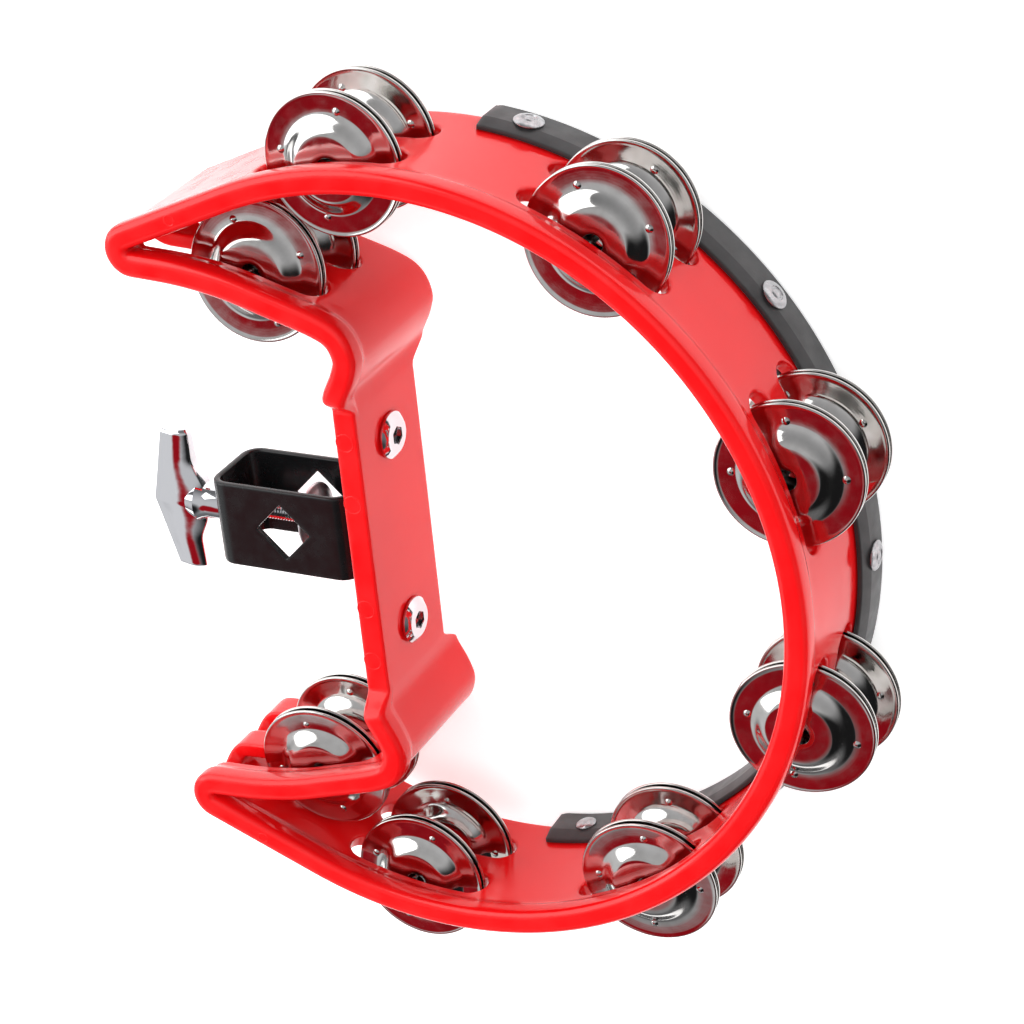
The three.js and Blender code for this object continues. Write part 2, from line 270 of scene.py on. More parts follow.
@dataclass(frozen=True)
class ExtrudedRubber(Finish):
    """Black PVC rubber drawn through a die: matt, with paler rubbed patches and a pebbled skin."""

    rubbed: str = "#2c2b2c"

    def dress(self, tree: bpy.types.NodeTree, shader: bpy.types.Node) -> None:
        """Adds rubbed patches, a pebbled skin and a dry bloom."""
        # Hands and tables rub it paler in patches some 18 mm across.
        worn = self.spread(tree, self.speckle(tree, 18.0, 5.0), 0.0, 1.0)
        self.tint(tree, shader, worn, self.rubbed)
        # The gloss changes over about 6 mm.
        self.uneven_gloss(tree, shader, 6.0, 3.0, 0.08, 0.1)
        shader.inputs["IOR"].default_value = 1.52
        shader.inputs["Sheen Weight"].default_value = 0.15
        shader.inputs["Sheen Roughness"].default_value = 0.5
        # The skin is pebbled at about 0.8 mm, over slow waves of about 7 mm from the die.
        self.relief(tree, shader, [(self.speckle(tree, 7.0), 0.05), (self.speckle(tree, 0.8, 3.0), 0.02)])


@dataclass(frozen=True)
class StampedNickel(Finish):
    """Nickel-plated steel sheet, stamped and polished: a mirror with fine rings and slow waves."""

    tarnish: str = "#a9a7a2"

    def dress(self, tree: bpy.types.NodeTree, shader: bpy.types.Node) -> None:
        """Adds polishing rings, a slight tarnish and the waves of a stamped sheet."""
        shader.inputs["Metallic"].default_value = 1.0
        # Tarnish gathers in patches some 7 mm across, and the polish varies over about 4 mm.
        dull = self.spread(tree, self.speckle(tree, 7.0, 4.0), 0.0, 0.55)
        self.tint(tree, shader, dull, self.tarnish)
        self.uneven_gloss(tree, shader, 4.0, 4.0, 0.03, 0.08)
        # Rings left by the polishing wheel, 0.9 mm apart, drawn coarser than real so that they show.
        place = add_node(tree, "ShaderNodeTexCoord").outputs["Object"]
        rings = add_node(
            tree, "ShaderNodeTexWave", {"wave_type": "RINGS", "rings_direction": "Z"},
            Vector=place, Scale=per_mm(0.9) / RINGS_PER_UNIT, Distortion=1.5, Detail=1.0,
        )
        # A stamped sheet is never quite flat: waves of about 8 mm, and a plating grain drawn at 1.2 mm.
        waves = self.speckle(tree, 8.0)
        grain = self.speckle(tree, 1.2)
        self.relief(tree, shader, [(waves, 0.05), (rings.outputs["Fac"], 0.0007), (grain, 0.003)])


@dataclass(frozen=True)
class Chrome(Finish):
    """Bright chrome or nickel plate: a mirror, or satin on a pressing, over the base metal's soft waves."""

    wave: float = 5.0

    def dress(self, tree: bpy.types.NodeTree, shader: bpy.types.Node) -> None:
        """Adds the base metal's waves, a fine grain and a few dull touch marks."""
        shader.inputs["Metallic"].default_value = 1.0
        # Touch marks are some 5 mm across.
        self.uneven_gloss(tree, shader, 5.0, 4.0, 0.03, 0.05)
        # The waves are 6 mm long on a casting and 2 or 3 mm on wire, pressings and turned metal. The grain
        # is 0.7 mm, drawn coarser than real.
        self.relief(tree, shader, [(self.speckle(tree, self.wave), 0.06), (self.speckle(tree, 0.7), 0.003)])


@dataclass(frozen=True)
class ZincPlate(Finish):
    """Zinc-plated steel straight from the barrel: satin, with a fine tumbled grain."""

    spangle: str = "#8f9092"

    def dress(self, tree: bpy.types.NodeTree, shader: bpy.types.Node) -> None:
        """Adds a tumbled grain and uneven brightness."""
        shader.inputs["Metallic"].default_value = 1.0
        # Darker flecks some 2 mm across, and a gloss that changes over 1.5 mm.
        flecks = self.spread(tree, self.speckle(tree, 2.0, 4.0), 0.0, 0.8)
        self.tint(tree, shader, flecks, self.spangle)
        self.uneven_gloss(tree, shader, 1.5, 3.0, 0.08, 0.12)
        # The barrel's tumbling leaves dents about 1 mm apart.
        self.relief(tree, shader, [(self.speckle(tree, 1.0, 3.0), 0.02)])


@dataclass(frozen=True)
class BlackEnamel(Finish):
    """Black stoved enamel on pressed steel: a soft gloss with orange peel."""

    peel: float = 1.6

    def dress(self, tree: bpy.types.NodeTree, shader: bpy.types.Node) -> None:
        """Adds orange peel over slow sags, and an uneven gloss."""
        shader.inputs["IOR"].default_value = 1.5
        shader.inputs["Specular IOR Level"].default_value = 0.34
        # The gloss changes over about 5 mm.
        self.uneven_gloss(tree, shader, 5.0, 3.0, 0.06, 0.1)
        # Orange peel is about 1.6 mm from lump to lump, over sags of about 9 mm.
        self.relief(tree, shader, [(self.speckle(tree, 9.0), 0.05), (self.speckle(tree, self.peel), 0.008)])


RED_ABS = MouldedAbs("red_moulded_abs", "red_abs", "#e81316", 0.15)
STRIP_RUBBER = ExtrudedRubber("black_extruded_rubber", "black_rubber", "#1d1c1d", 0.5)
JINGLE_NICKEL = StampedNickel("nickel_plated_stamped_steel", "nickel_steel", "#d3d2d0", 0.08)
PIN_NICKEL = Chrome("nickel_plated_wire", "nickel_steel", "#cfcecb", 0.12, 2.0)
CAST_CHROME = Chrome("chromed_zinc_casting", "chrome", "#dcdde0", 0.05, 6.0)
TURNED_CHROME = Chrome("chromed_turned_steel", "chrome", "#d6d7da", 0.07, 3.0)
SATIN_CHROME = Chrome("satin_chromed_pressing", "chrome", "#dedfe1", 0.42, 3.0)
RIVET_ZINC = ZincPlate("zinc_plated_rivet_steel", "zinc_steel", "#c4c4c6", 0.3)
CLAMP_ENAMEL = BlackEnamel("black_stoved_enamel", "black_enamel", "#131415", 0.22)


class Wardrobe:
    """Makes each finish's material once and hands it out."""

    def __init__(self) -> None:
        """Starts with nothing made."""
        self.made: dict[str, bpy.types.Material] = {}

    def material(self, finish: Finish) -> bpy.types.Material:
        """Gives the material of a finish, made at first use."""
        if finish.name not in self.made:
            self.made[finish.name] = finish.build()
        return self.made[finish.name]


# ---------------------------------------------------------------- mesh building


@dataclass
class Shell:
    """A mesh under construction, in millimetres in the model's frame."""

    points: list[Vector] = field(default_factory=list)
    faces: list[tuple[int, ...]] = field(default_factory=list)

    def add_rings(self, rings: Sequence[Sequence[Vector]], around: bool = True, along: bool = False) -> None:
        """Skins a stack of equal rings with quads.

        Args:
            rings: Rings of points, one after the other.
            around: Whether each ring closes on itself.
            along: Whether the last ring joins the first.
        """
        start, count = len(self.points), len(rings[0])
        for ring in rings:
            self.points.extend(ring)
        spans = len(rings) if along else len(rings) - 1
        for i in range(spans):
            here, there = start + i * count, start + ((i + 1) % len(rings)) * count
            for k in range(count if around else count - 1):
                after = (k + 1) % count
                self.faces.append((here + k, here + after, there + after, there + k))

    def add_cap(self, ring: Sequence[Vector]) -> None:
        """Closes a ring with one fan about its middle.

        Args:
            ring: The ring's points in order.
        """
        middle = sum(ring, Vector()) / len(ring)
        start = len(self.points)
        self.points.extend([*ring, middle])
        count = len(ring)
        self.faces.extend((start + k, start + (k + 1) % count, start + count) for k in range(count))

    def add_triangles(self, points: Sequence[Vector], triangles: Sequence[Sequence[int]]) -> None:
        """Adds loose triangles with their own points.

        Args:
            points: Points of the triangles.
            triangles: Three places in that list for each triangle.
        """
        start = len(self.points)
        self.points.extend(points)
        self.faces.extend(tuple(start + i for i in t) for t in triangles)

    def add_shell(self, other: "Shell") -> None:
        """Adds another shell's points and faces."""
        start = len(self.points)
        self.points.extend(other.points)
        self.faces.extend(tuple(start + i for i in face) for face in other.faces)

    def to_mesh(self, name: str, sharp: float = 35.0, weld: float = 1e-4) -> bpy.types.Mesh:
        """Makes the Blender mesh in metres, welded, facing out and smooth.

        Args:
            name: Name of the mesh.
            sharp: Angle in degrees over which an edge stays sharp.
            weld: Distance in millimetres within which points become one.

        Returns:
            The mesh.
        """
        work = bmesh.new()
        made = [work.verts.new(p * MM) for p in self.points]
        for face in self.faces:
            corners = list(dict.fromkeys(face))
            if len(corners) > 2:
                try:
                    work.faces.new([made[i] for i in corners])
                except ValueError:
                    continue
        bmesh.ops.remove_doubles(work, verts=work.verts, dist=weld * MM)
        bmesh.ops.dissolve_degenerate(work, edges=work.edges, dist=1e-9)
        bmesh.ops.recalc_face_normals(work, faces=work.faces)
        mesh = bpy.data.meshes.new(name)
        work.to_mesh(mesh)
        work.free()
        mesh.polygons.foreach_set("use_smooth", [True] * len(mesh.polygons))
        mesh.set_sharp_from_angle(angle=math.radians(sharp))
        return mesh


# Radius in millimetres below which a profile's point is taken as lying on its axis.
ON_AXIS = 1e-6


def turned(profile: Section, segments: int, place: Callable[[Vector], Vector], closed: bool = False) -> Shell:
    """Turns a profile about its own Z axis.

    Args:
        profile: Points of radius and height, with radius 0 on the axis.
        segments: How many steps make a full turn.
        place: Moves a point from the profile's own axes to the model's frame.
        closed: Whether the profile is a closed loop away from the axis.

    Returns:
        The turned shell.
    """
    shell = Shell()
    turns = [2 * math.pi * k / segments for k in range(segments)]
    rings = [
        [place(Vector((r * math.cos(a), r * math.sin(a), h))) for a in turns]
        for r, h in profile if r > ON_AXIS
    ]
    shell.add_rings(rings, along=closed)
    if not closed:
        for (r, h), ring in ((profile[0], rings[0]), (profile[-1], rings[-1])):
            if r <= ON_AXIS:
                shell.add_cap(ring)
                shell.points[-1] = place(Vector((0, 0, h)))
    return shell


def arc(centre: Point2, radius: float, start: float, end: float, steps: int) -> Section:
    """Points along an arc.

    Args:
        centre: The arc's centre.
        radius: The arc's radius.
        start: First angle in degrees.
        end: Last angle in degrees.
        steps: How many spans it has.

    Returns:
        The points, both ends included.
    """
    turns = [math.radians(start + (end - start) * k / steps) for k in range(steps + 1)]
    return [(centre[0] + radius * math.cos(a), centre[1] + radius * math.sin(a)) for a in turns]


def rounded(corners: Sequence[Point2], radius: float | Sequence[float], steps: int = 4) -> Section:
    """Rounds the corners of a closed outline.

    Args:
        corners: The outline's corners in order.
        radius: Radius of every corner, or one for each.
        steps: How many spans each corner gets.

    Returns:
        The rounded outline.
    """
    out: Section = []
    count = len(corners)
    for i, corner in enumerate(corners):
        r = radius if isinstance(radius, (int, float)) else radius[i]
        here = Vector(corner)
        before = Vector(corners[i - 1]) - here
        after = Vector(corners[(i + 1) % count]) - here
        if r <= 0:
            out.append(corner)
            continue
        u, v = before.normalized(), after.normalized()
        half = u.angle(v) / 2
        reach = min(r / math.tan(half), 0.49 * before.length, 0.49 * after.length)
        for k in range(steps + 1):
            t = k / steps
            a, b = here + u * reach, here + v * reach
            spot = a * (1 - t) ** 2 + here * 2 * t * (1 - t) + b * t * t
            out.append((spot.x, spot.y))
    return out


def smooth_step(value: float, low: float, high: float) -> float:
    """Goes from 0 at low to 1 at high with soft ends."""
    t = min(1.0, max(0.0, (value - low) / (high - low)))
    return t * t * (3 - 2 * t)


# Spans in each rounded corner of an opening.
CORNER_SPANS = 8


@dataclass(frozen=True)
class Opening:
    """A rounded window in a band, in the band's unrolled plane."""

    along: float
    up: float
    half_along: float
    half_up: float
    corner: float
    turn: float = 0.0

    def outline(self, grow: float) -> Section:
        """Outline of the opening, grown outwards.

        Args:
            grow: How far outside the opening's edge it runs, in millimetres.

        Returns:
            Points in the unrolled plane, the same number for every grow.
        """
        hx, hy, r = self.half_along + grow, self.half_up + grow, self.corner + grow
        points: Section = []
        for quarter in range(4):
            sx, sy = (1, 1, -1, -1)[quarter], (-1, 1, 1, -1)[quarter]
            spot = (sx * (hx - r), sy * (hy - r))
            points.extend(arc(spot, r, -90 + 90 * quarter, 90 * quarter, CORNER_SPANS))
        full: Section = []
        for i, point in enumerate(points):
            nearby = points[(i + 1) % len(points)]
            dx, dy = nearby[0] - point[0], nearby[1] - point[1]
            gap = math.dist(point, nearby)
            full.append(point)
            # A long straight side between two corners is split into short spans.
            ends_corner = i % (CORNER_SPANS + 1) == CORNER_SPANS
            spans = max(1, round(gap / 1.6)) if gap > 2.4 and ends_corner else 1
            full.extend((point[0] + dx * k / spans, point[1] + dy * k / spans) for k in range(1, spans))
        c, s = math.cos(math.radians(self.turn)), math.sin(math.radians(self.turn))
        merged = [p for i, p in enumerate(full) if math.dist(p, full[i - 1]) > 1e-6]
        return [(self.along + c * x - s * y, self.up + s * x + c * y) for x, y in merged]

    def covers(self, x: float, y: float, grow: float) -> bool:
        """Tells whether a point of the unrolled plane lies inside the grown opening.

        Args:
            x: Distance along the band.
            y: Height.
            grow: How far the opening is grown, in millimetres.

        Returns:
            True inside.
        """
        c, s = math.cos(math.radians(-self.turn)), math.sin(math.radians(-self.turn))
        dx, dy = x - self.along, y - self.up
        px, py = abs(c * dx - s * dy), abs(s * dx + c * dy)
        hx, hy, r = self.half_along + grow, self.half_up + grow, self.corner + grow
        outside = math.hypot(max(px - (hx - r), 0), max(py - (hy - r), 0))
        return outside < r


@dataclass
class PiercedBand:
    """A closed band with windows: two skins, rounded window edges and two shaped rims."""

    place: Callable[[float, float, float], Vector]
    stations: list[float]
    length: float
    span: tuple[float, float]
    half: float
    openings: list[Opening]
    edges: list[Callable[[float], Section]] = field(default_factory=list)
    fillet: float = 0.9
    pitch: float = 2.4

    def skin(self) -> tuple[list[Point2], list[tuple[int, int, int]]]:
        """Meshes the unrolled plane round its openings.

        Returns:
            The plane's points and its triangles.
        """
        low, high = self.span
        rows = max(2, round((high - low) / self.pitch))
        levels = [low + (high - low) * j / rows for j in range(rows + 1)]
        marks = [*self.stations, self.length]
        border = [(s, low) for s in marks] + [(marks[-1], z) for z in levels[1:]]
        border += [(s, high) for s in reversed(marks[:-1])] + [(marks[0], z) for z in reversed(levels[1:-1])]
        points = [Vector(p) for p in border]
        lines = [(i, (i + 1) % len(border)) for i in range(len(border))]
        for opening in self.openings:
            start = len(points)
            ring = opening.outline(self.fillet)
            points.extend(Vector(p) for p in ring)
            lines.extend((start + i, start + (i + 1) % len(ring)) for i in range(len(ring)))
        clear = self.fillet + 0.5
        for s in marks[1:-1]:
            for z in levels[1:-1]:
                if not any(o.covers(s, z, clear) for o in self.openings):
                    points.append(Vector((s, z)))
        flat, _, triangles, *_ = delaunay_2d_cdt(points, lines, [], 1, 1e-7)
        kept = []
        for a, b, c in triangles:
            middle = (flat[a] + flat[b] + flat[c]) / 3
            if not any(o.covers(middle.x, middle.y, self.fillet - 1e-4) for o in self.openings):
                kept.append((a, b, c))
        return [(p.x, p.y) for p in flat], kept

    def shell(self) -> Shell:
        """Builds the whole band.

        Returns:
            One closed shell.
        """
        shell = Shell()
        flat, triangles = self.skin()
        for side in SIDES:
            shell.add_triangles([self.place(s, z, side * self.half) for s, z in flat], triangles)
        quarter = [math.radians(90 * k / 4) for k in range(5)]
        depths = [
            (self.fillet * (1 - math.sin(a)), self.half - self.fillet * (1 - math.cos(a))) for a in quarter
        ]
        steps = [*depths, *[(grow, -n) for grow, n in reversed(depths)]]
        for opening in self.openings:
            shell.add_rings([[self.place(s, z, n) for s, z in opening.outline(grow)] for grow, n in steps])
        for edge in self.edges:
            rings = [[self.place(s, z, n) for n, z in edge(s)] for s in self.stations]
            shell.add_rings(rings, around=False, along=True)
        return shell


# ---------------------------------------------------------------- the ring's plan


@dataclass
class RingPlan:
    """Plan of the frame: where its middle line runs, seen along the ring's axis."""

    ring_r: float = 125.75
    strip_r: float = 131.5
    arc_end: float = 112.0
    horn: tuple[float, float, float] = (-83.0, 96.9, 4.7)
    limb: tuple[Point2, ...] = (
        (-18.2, 55), (-14.6, 62.5), (-13, 68.5), (-15.5, 75), (-22, 79),
        (-37, 83.8), (-52, 88.3), (-67, 91), (-83.4, 92.2),
    )
    grip_x: float = -19.25
    grip_half: float = 47.0

    def __post_init__(self) -> None:
        """Finds the ring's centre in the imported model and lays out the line."""
        low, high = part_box("strike_strip")
        self.centre = Vector((high.x / MM - self.strip_r, (low.y + high.y) / 2 / MM, 0.0))
        self.line = self.trace()
        self.marks = [0.0]
        for a, b in zip(self.line, self.line[1:]):
            self.marks.append(self.marks[-1] + (b - a).length)
        self.half_length = self.marks[-1]
        self.length = 2 * self.half_length

    def trace(self) -> list[Vector]:
        """Draws the middle line of the upper half, from the grip's middle to the ring's far point.

        Returns:
            Closely spaced points about the ring's centre.
        """
        line = [Vector((self.grip_x, y)) for y in (0.0, 10.0, 20.0, 30.0, 40.0, self.grip_half)]
        knots = [line[-1], *[Vector(p) for p in self.limb]]
        for i in range(len(knots) - 1):
            a, b = knots[max(i - 1, 0)], knots[i]
            c, d = knots[i + 1], knots[min(i + 2, len(knots) - 1)]
            for k in range(1, 25):
                t = k / 24
                square = (2 * a - 5 * b + 4 * c - d) * t * t
                cube = (3 * b - a - 3 * c + d) * t**3
                line.append(0.5 * ((2 * b) + (c - a) * t + square + cube))
        hx, hy, hr = self.horn
        line += [Vector(p) for p in arc((hx, hy), hr, -95, -360 + self.arc_end, 60)]
        start = math.radians(self.arc_end)
        first = Vector((self.ring_r * math.cos(start), self.ring_r * math.sin(start)))
        last = line[-1].copy()
        line += [last.lerp(first, k / 30) for k in range(1, 30)]
        line += [Vector(p) for p in arc((0.0, 0.0), self.ring_r, self.arc_end, 0, 240)]
        return [p for i, p in enumerate(line) if i == 0 or (p - line[i - 1]).length > 1e-4]

    def fold(self, s: float) -> float:
        """Distance from the grip's middle, counted alike on both sides."""
        return s if s <= self.half_length else self.length - s

    def spot(self, s: float) -> Vector:
        """Finds a point of the middle line, about the ring's centre.

        Args:
            s: Distance along the line from the grip's middle.

        Returns:
            The point in millimetres.
        """
        s %= self.length
        folded = self.fold(s)
        i = min(max(bisect.bisect_right(self.marks, folded) - 1, 0), len(self.line) - 2)
        t = (folded - self.marks[i]) / (self.marks[i + 1] - self.marks[i])
        p = self.line[i].lerp(self.line[i + 1], t)
        return Vector((p.x, p.y if s <= self.half_length else -p.y))

    def outward(self, s: float, reach: float = 1.1) -> Vector:
        """Finds the outward direction across the band.

        Args:
            s: Distance along the middle line.
            reach: Half the stretch over which bends are softened, in millimetres.

        Returns:
            The direction, of length 1.
        """
        t = self.spot(s + reach) - self.spot(s - reach)
        return Vector((-t.y, t.x)).normalized()

    def place(self, s: float, n: float, z: float) -> Vector:
        """Point in the model's frame.

        Args:
            s: Distance along the middle line.
            n: Offset outwards.
            z: Height.

        Returns:
            The point in millimetres.
        """
        p = self.spot(s) + self.outward(s) * n
        return Vector((p.x, p.y, z)) + self.centre

    def nearest(self, x: float, y: float) -> float:
        """Finds where the upper half of the line passes closest to a point.

        Args:
            x: The point's x about the ring's centre.
            y: The point's y.

        Returns:
            Distance along the line.
        """
        target = Vector((x, y))
        best = min(range(len(self.line)), key=lambda i: (self.line[i] - target).length_squared)
        return self.marks[best]

    def stations(self) -> list[float]:
        """Lays out the distances along the line at which the band has a section.

        Returns:
            The distances, closer together where the line bends.
        """
        half = [0.0]
        while half[-1] < self.half_length:
            s = half[-1]
            bend = (self.outward(s + 1.5) - self.outward(s - 1.5)).length / 3
            step = min(2.6, max(0.55, 0.11 / max(bend, 1e-3)))
            # The grip's section grows into the band's here, so the steps stay short.
            if 44 < s < 60:
                step = min(step, 1.0)
            half.append(s + step)
        scale = self.half_length / half[-1]
        upper = [s * scale for s in half]
        return upper + [self.length - s for s in reversed(upper[1:-1])]

    def polar(self, radius: float, degrees: float, z: float) -> Vector:
        """Point at a radius and an angle about the ring's centre."""
        a = math.radians(degrees)
        return self.centre + Vector((radius * math.cos(a), radius * math.sin(a), z))


# ---------------------------------------------------------------- pieces


@dataclass
class Assembly:
    """What every sub-assembly shares: the ring's plan and the wardrobe of finishes."""

    plan: RingPlan
    wardrobe: Wardrobe

    def piece(
        self, name: str, mesh: bpy.types.Mesh, finish: Finish, body: str, *nodes: str,
        at: Vector | None = None,
    ) -> bpy.types.Object:
        """Puts a finished piece on its body in place of its CAD nodes.

        Args:
            name: Name of the piece.
            mesh: Its mesh, in metres about its own origin.
            finish: The finish it wears.
            body: CAD body that it rides on.
            *nodes: CAD nodes that it stands for.
            at: Its origin in millimetres.

        Returns:
            The Blender object.
        """
        obj = bpy.data.objects.new(name, mesh)
        bpy.context.scene.collection.objects.link(obj)
        if not mesh.materials:
            mesh.materials.append(self.wardrobe.material(finish))
        obj.location = (at or Vector()) * MM
        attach(obj, body)
        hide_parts(*nodes)
        log.info("%s: %d faces on %s", name, len(mesh.polygons), body)
        return obj


@dataclass
class RedFrame(Assembly):
    """The moulded frame: band, rim bead, far edge, grip and slots in one piece."""

    wall: float = 2.5
    bead: float = 4.0
    grip: float = 3.95
    low: float = 5.0
    high: float = 59.9
    grip_low: float = 13.5
    grip_high: float = 52.5
    skin_low: float = 7.5
    skin_high: float = 50.0
    slot_half: Point2 = (25.25, 5.5)
    rows: Point2 = (21.5, 42.5)
    ring_seats: tuple[float, ...] = (19.5, 59.3, 98.6)
    limb_slot: tuple[float, float] = (-25.5, 83.0)

    def full(self, s: float) -> float:
        """How far the section has grown from the grip's to the band's: 0 on the grip, 1 beyond it."""
        return smooth_step(self.plan.fold(s), 48.0, 55.0)

    def half_wall(self, s: float) -> float:
        """Half the thickness of the wall or of the grip."""
        return self.grip + (self.wall - self.grip) * smooth_step(self.plan.fold(s), 46.0, 57.0)

    def mix(self, grip: float, band: float, s: float) -> float:
        """Mixes a size on the grip with the one on the band."""
        return grip + (band - grip) * self.full(s)

    def place(self, s: float, z: float, n: float) -> Vector:
        """Places a point of the skins, whose heights and offsets follow the section's growth.

        Args:
            s: Distance along the middle line.
            z: Height on the band.
            n: Offset outwards on the band.

        Returns:
            The point in the model's frame, in millimetres.
        """
        low = self.mix(self.grip_low + 1.6, self.skin_low, s)
        high = self.mix(self.grip_high - 3.0, self.skin_high, s)
        level = low + (high - low) * (z - self.skin_low) / (self.skin_high - self.skin_low)
        return self.plan.place(s, n * self.half_wall(s) / self.wall, level)

    def rim(self, s: float) -> Section:
        """Draws the section of the near rim: a flare from the wall, then a crowned bead.

        Args:
            s: Distance along the middle line.

        Returns:
            Points of offset and height, from the outer wall over the bead to the inner one.
        """
        w, b = self.half_wall(s), self.mix(self.grip, self.bead, s)
        foot = self.mix(self.grip_high - 3.0, self.skin_high, s)
        top = self.mix(self.grip_high, self.high, s)
        shoulder = self.mix(self.grip_high - 2.2, 54.6, s)
        r = self.mix(1.0, 2.3, s)
        right: Section = []
        for k in range(9):
            t = k / 8
            right.append((w + (b - w) * t * t * (3 - 2 * t), foot + (shoulder - foot) * t))
        right += [(b, shoulder + (top - r - shoulder) * 0.5)]
        right += arc((b - r, top - r), r, 0, 90, 5)
        right += [((b - r) * 0.5, top)]
        return right + [(-n, z) for n, z in reversed(right)]

    def foot(self, s: float) -> Section:
        """Draws the section of the far edge, with small rounded corners.

        Args:
            s: Distance along the middle line.

        Returns:
            Points of offset and height, from the outer wall under the edge to the inner one.
        """
        w = self.half_wall(s)
        start = self.mix(self.grip_low + 1.6, self.skin_low, s)
        bottom = self.mix(self.grip_low, self.low, s)
        r = self.mix(1.0, 0.8, s)
        right = [(w, start), *[(n, z) for n, z in arc((w - r, bottom + r), r, 0, -90, 4)], (w * 0.4, bottom)]
        return right + [(-n, z) for n, z in reversed(right)]

    def slots(self) -> list[Opening]:
        """Lays out all sixteen slots.

        Returns:
            The slots in the unrolled plane.
        """
        half_along, half_up = self.slot_half
        spans: list[tuple[float, float]] = []
        for degrees in self.ring_seats:
            middle = self.plan.half_length - math.radians(degrees) * self.plan.ring_r
            spans.append((middle - half_along, middle + half_along))
        start = self.plan.nearest(*self.limb_slot)
        hx, hy, hr = self.plan.horn
        spans.append((start, self.plan.nearest(hx - hr, hy - 0.4)))
        found = []
        for first, last in spans:
            for z in self.rows:
                for middle in ((first + last) / 2, self.plan.length - (first + last) / 2):
                    found.append(Opening(middle, z, (last - first) / 2, half_up, half_up))
        return found

    def ejector_marks(self, shell: Shell) -> None:
        """Adds the thin round lines that ejector pins leave on the grip's near edge and the rim.

        Args:
            shell: The frame's shell.
        """
        spots = [(self.plan.grip_x - 0.6, y, self.grip_high) for y in (-38.0, -19.5, 17.0, 38.0)]
        on_rim = self.plan.nearest(-66, 108.7)
        spots += [(*self.plan.spot(s), self.high) for s in (on_rim, self.plan.length - on_rim)]
        for x, y, z in spots:
            radius = 2.9 if z < self.high else 1.7
            middle = Vector((x, y, z)) + self.plan.centre
            rings = []
            for k in range(8):
                a = 2 * math.pi * k / 8
                offset, lift = 0.26 * math.cos(a), 0.12 * math.sin(a) - 0.04
                rings.append([
                    middle + Vector(((radius + offset) * math.cos(t), (radius + offset) * math.sin(t), lift))
                    for t in (2 * math.pi * i / 40 for i in range(40))
                ])
            shell.add_rings(rings, along=True)

    def build(self) -> None:
        """Builds and dresses the frame."""
        band = PiercedBand(
            place=self.place, stations=self.plan.stations(), length=self.plan.length,
            span=(self.skin_low, self.skin_high), half=self.wall, openings=self.slots(),
        )
        shell = band.shell()
        for edge in (self.rim, self.foot):
            rings = [[self.plan.place(s, n, z) for n, z in edge(s)] for s in band.stations]
            shell.add_rings(rings, around=False, along=True)
        self.ejector_marks(shell)
        mesh = shell.to_mesh("red_frame", sharp=50.0, weld=2e-3)
        self.piece("red_frame", mesh, RED_ABS, ROOT, "frame")


